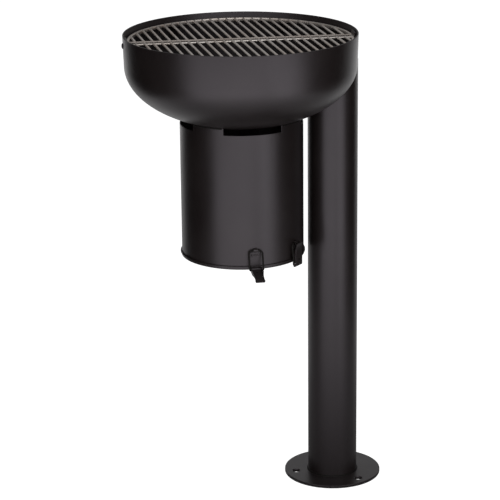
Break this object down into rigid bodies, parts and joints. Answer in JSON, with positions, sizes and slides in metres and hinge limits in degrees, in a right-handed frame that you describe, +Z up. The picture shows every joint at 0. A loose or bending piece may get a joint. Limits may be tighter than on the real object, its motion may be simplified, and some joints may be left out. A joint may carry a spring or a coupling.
{
  "type": "park bbq grill pedestal",
  "caption": "Charcoal park grill: round bowl with a folding cooking grate beside an upright floor-flanged post, and a drum below whose latched lid swings down for the ash.",
  "frame": {"origin": "centre of the base flange's underside, on the post's axis", "axes": "+Z up along the post; +X from the bowl's axis to the post's axis; -Y is the side with the two latches"},
  "size_m": [0.5223, 0.466, 0.948],
  "materials": {
    "black_coat": "satin black powder coat on steel",
    "grate_steel": "bare stainless rod, dulled by heat",
    "fire_iron": "dark cast iron, dry and slightly rough",
    "zinc_steel": "zinc-plated steel, dull"
  },
  "bodies": {
    "grill_frame": {"base_flange": "black_coat", "post_tube": "black_coat", "bowl_shell": "black_coat", "drum_shell": "black_coat", "fire_grate": "fire_iron", "pivot_plate_right": "black_coat", "pivot_bolt_right": "black_coat", "pivot_nut_right": "zinc_steel", "pivot_plate_left": "black_coat", "pivot_bolt_left": "black_coat", "pivot_nut_left": "zinc_steel", "grate_rest_lug_1": "black_coat", "grate_rest_lug_2": "black_coat", "grate_rest_lug_3": "black_coat", "grate_rest_lug_4": "black_coat", "hinge_leaf_drum": "black_coat", "hinge_pin": "zinc_steel", "hinge_rivet_drum_1": "black_coat", "hinge_rivet_drum_2": "black_coat", "latch_front_saddle": "black_coat", "latch_front_rivet_1": "black_coat", "latch_front_rivet_2": "black_coat", "latch_front_rivet_3": "black_coat", "latch_right_saddle": "black_coat", "latch_right_rivet_1": "black_coat", "latch_right_rivet_2": "black_coat", "latch_right_rivet_3": "black_coat"},
    "grate_front": {"cooking_grate_front": "grate_steel"},
    "grate_rear": {"cooking_grate_rear": "grate_steel"},
    "lid": {"ash_lid": "black_coat", "hinge_leaf_lid": "black_coat", "hinge_rivet_lid_1": "black_coat", "hinge_rivet_lid_2": "black_coat"},
    "front_bail": {"latch_front_bail": "black_coat"},
    "front_lever": {"latch_front_lever": "black_coat"},
    "right_bail": {"latch_right_bail": "black_coat"},
    "right_lever": {"latch_right_lever": "black_coat"}
  },
  "joints": [
    {"name": "grate_front_fold", "type": "hinge", "parent": "grill_frame", "child": "grate_front", "pos_m": [-0.1882, -0.00998, 0.9335], "axis": [-0.9976, 0.0698, 0], "range_deg": [0, 90]},
    {"name": "grate_rear_fold", "type": "hinge", "parent": "grill_frame", "child": "grate_rear", "pos_m": [-0.1868, 0.00998, 0.9335], "axis": [0.9976, -0.0698, 0], "range_deg": [0, 90]},
    {"name": "lid_swing", "type": "hinge", "parent": "grill_frame", "child": "lid", "pos_m": [-0.24261, 0.11818, 0.5057], "axis": [0.9063, 0.4226, 0], "range_deg": [0, 95]},
    {"name": "latch_front_bail_swing", "type": "hinge", "parent": "grill_frame", "child": "front_bail", "pos_m": [-0.1875, -0.12715, 0.5367], "axis": [-1, 0, 0], "range_deg": [-9.52, 0]},
    {"name": "latch_front_lever_turn", "type": "hinge", "parent": "front_bail", "child": "front_lever", "pos_m": [-0.1875, -0.13731, 0.49937], "axis": [1, 0, 0], "range_deg": [-112, 0]},
    {"name": "latch_right_bail_swing", "type": "hinge", "parent": "grill_frame", "child": "right_bail", "pos_m": [-0.09759, -0.08991, 0.5367], "axis": [-0.7071, -0.7071, 0], "range_deg": [0, 9.52]},
    {"name": "latch_right_lever_turn", "type": "hinge", "parent": "right_bail", "child": "right_lever", "pos_m": [-0.09487, -0.09263, 0.4982], "axis": [0.7071, 0.7071, 0], "range_deg": [0, 112]}
  ],
  "couplings": [
    {"joint": "latch_front_bail_swing", "follows": "latch_front_lever_turn", "ratio": 0.085},
    {"joint": "latch_right_bail_swing", "follows": "latch_right_lever_turn", "ratio": 0.085}
  ]
}
